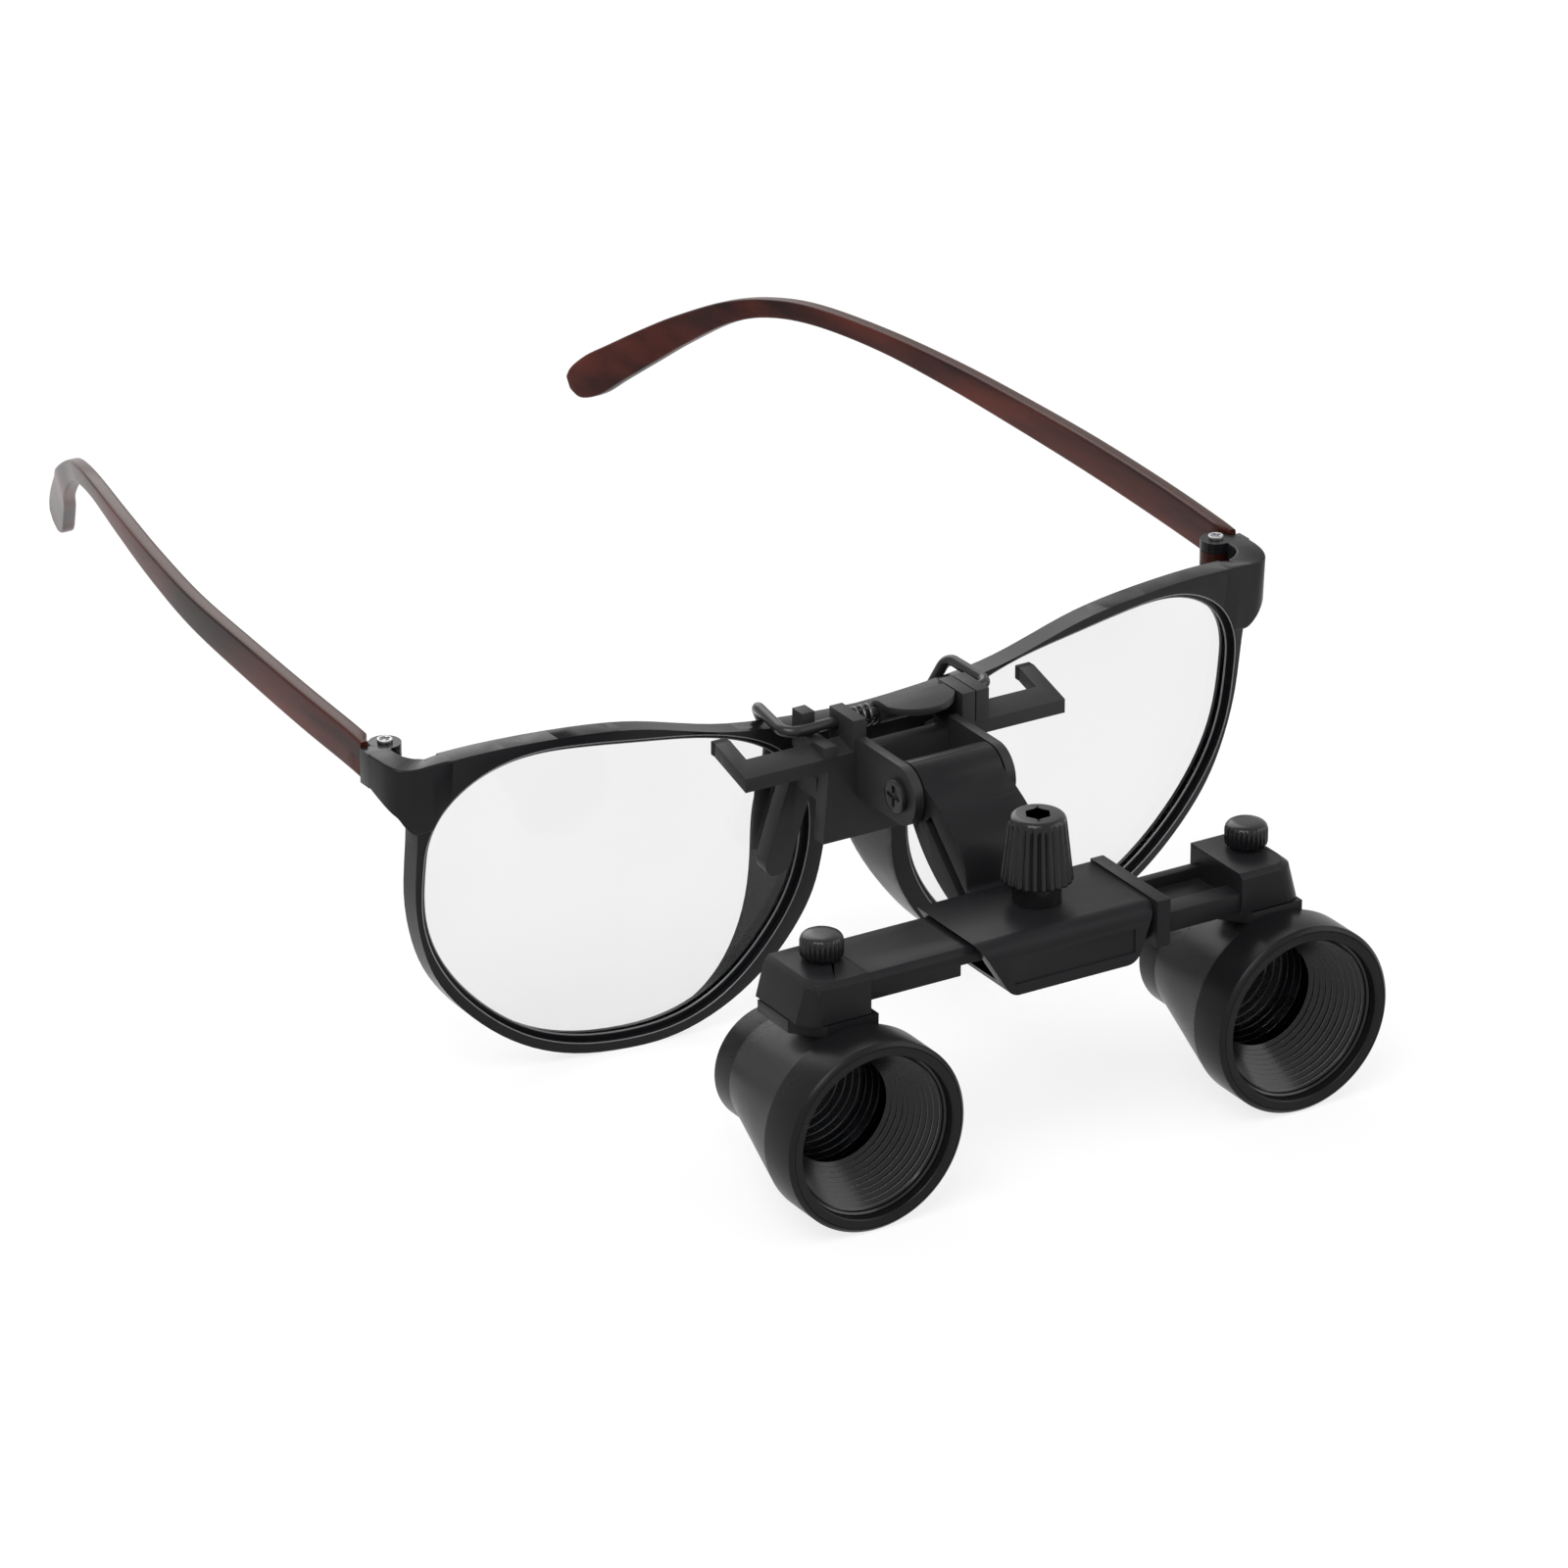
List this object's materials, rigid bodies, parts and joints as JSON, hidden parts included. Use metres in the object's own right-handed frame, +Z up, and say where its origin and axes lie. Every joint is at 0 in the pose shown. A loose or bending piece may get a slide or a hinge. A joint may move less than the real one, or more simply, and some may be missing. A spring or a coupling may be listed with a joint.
{
  "type": "surgical loupes",
  "caption": "Flip-up magnifying loupes clipped to a full-rim spectacle frame, with folding temples and rack-and-pinion spacing of the barrels.",
  "frame": {"origin": "centre of the bounding box on the rest surface, under the rims and barrels, with the temples open", "axes": "+X to the right seen from the front, the barrels look towards -Y, the temples run towards +Y, +Z up"},
  "size_m": [0.1398, 0.2057, 0.056],
  "materials": {
    "front_plastic": "satin black moulded",
    "temple_plastic": "dark brown translucent, glossy",
    "clear_lens": "clear",
    "screw_steel": "bright",
    "black_screw": "blackened steel",
    "clip_plastic": "matte black",
    "pad_rubber": "soft black",
    "wire_steel": "black coated wire",
    "spring_steel": "spring steel",
    "arm_metal": "satin black anodised",
    "knob_metal": "satin black, knurled",
    "pinion_brass": "machined",
    "barrel_metal": "satin black anodised",
    "baffle_black": "flat black inside",
    "optic_glass": "coated"
  },
  "bodies": {
    "frame": {"frame_front": "front_plastic", "lens_left": "clear_lens", "lens_right": "clear_lens", "hinge_screw_left": "screw_steel", "hinge_screw_right": "screw_steel", "clip_body": "clip_plastic", "clip_pad_left": "pad_rubber", "clip_pad_right": "pad_rubber", "flip_hinge_screw": "black_screw", "flip_hinge_nut": "black_screw", "torsion_spring": "spring_steel"},
    "temple_left": {"temple_left": "temple_plastic"},
    "temple_right": {"temple_right": "temple_plastic"},
    "clip_lever": {"clip_lever": "clip_plastic", "clip_wire": "wire_steel", "wire_sleeve_left": "pad_rubber", "wire_sleeve_right": "pad_rubber"},
    "flip": {"flip_arm": "arm_metal", "slide_housing": "arm_metal", "housing_end_cap": "arm_metal"},
    "knob": {"pd_knob": "knob_metal", "knob_set_screw": "black_screw", "pinion_shaft": "pinion_brass"},
    "slide_left": {"arm_left": "arm_metal", "end_block_left": "arm_metal"},
    "lock_left": {"lock_knob_left": "knob_metal"},
    "barrel_left": {"barrel_left": "barrel_metal", "foot_plate_left": "arm_metal", "objective_ring_left": "barrel_metal", "objective_lens_left": "optic_glass", "baffle_left": "baffle_black", "eyepiece_ring_left": "barrel_metal", "eyepiece_lens_left": "optic_glass"},
    "slide_right": {"arm_right": "arm_metal", "end_block_right": "arm_metal"},
    "lock_right": {"lock_knob_right": "knob_metal"},
    "barrel_right": {"barrel_right": "barrel_metal", "foot_plate_right": "arm_metal", "objective_ring_right": "barrel_metal", "objective_lens_right": "optic_glass", "baffle_right": "baffle_black", "eyepiece_ring_right": "barrel_metal", "eyepiece_lens_right": "optic_glass"}
  },
  "joints": [
    {"name": "temple_left_fold", "type": "hinge", "parent": "frame", "child": "temple_left", "pos_m": [-0.066, -0.032, 0.048], "axis": [0, 0, -1], "range_deg": [0, 80]},
    {"name": "temple_right_fold", "type": "hinge", "parent": "frame", "child": "temple_right", "pos_m": [0.066, -0.032, 0.048], "axis": [0, 0, 1], "range_deg": [0, 64]},
    {"name": "clip_squeeze", "type": "hinge", "parent": "frame", "child": "clip_lever", "pos_m": [0, -0.052, 0.0473], "axis": [1, 0, 0], "range_deg": [0, 12], "stiffness_Nm_per_rad": 0.02, "springref_deg": -20.05},
    {"name": "flip_up", "type": "hinge", "parent": "frame", "child": "flip", "pos_m": [0, -0.067, 0.0423], "axis": [-1, 0, 0], "range_deg": [0, 80]},
    {"name": "pd_turn", "type": "hinge", "parent": "flip", "child": "knob", "pos_m": [0, -0.0886, 0.0303], "axis": [0, 0, 1], "range_deg": [-96, 120]},
    {"name": "slide_left_travel", "type": "slide", "parent": "flip", "child": "slide_left", "axis": [1, 0, 0], "range_m": [-0.004, 0.005]},
    {"name": "slide_right_travel", "type": "slide", "parent": "flip", "child": "slide_right", "axis": [-1, 0, 0], "range_m": [-0.004, 0.005]},
    {"name": "lock_left_turn", "type": "hinge", "parent": "slide_left", "child": "lock_left", "pos_m": [-0.0332, -0.0885, 0.0353], "axis": [0, 0, 1], "range_deg": [0, 180]},
    {"name": "barrel_left_swivel", "type": "hinge", "parent": "slide_left", "child": "barrel_left", "pos_m": [-0.0332, -0.0885, 0.0269], "axis": [0, 0, 1], "range_deg": [-5, 5]},
    {"name": "lock_right_turn", "type": "hinge", "parent": "slide_right", "child": "lock_right", "pos_m": [0.0332, -0.0885, 0.0353], "axis": [0, 0, 1], "range_deg": [0, 180]},
    {"name": "barrel_right_swivel", "type": "hinge", "parent": "slide_right", "child": "barrel_right", "pos_m": [0.0332, -0.0885, 0.0269], "axis": [0, 0, 1], "range_deg": [-5, 5]}
  ],
  "couplings": [
    {"joint": "pd_turn", "follows": "slide_left_travel", "rad_per_m": 416.67},
    {"joint": "slide_right_travel", "follows": "slide_left_travel", "ratio": 1}
  ]
}
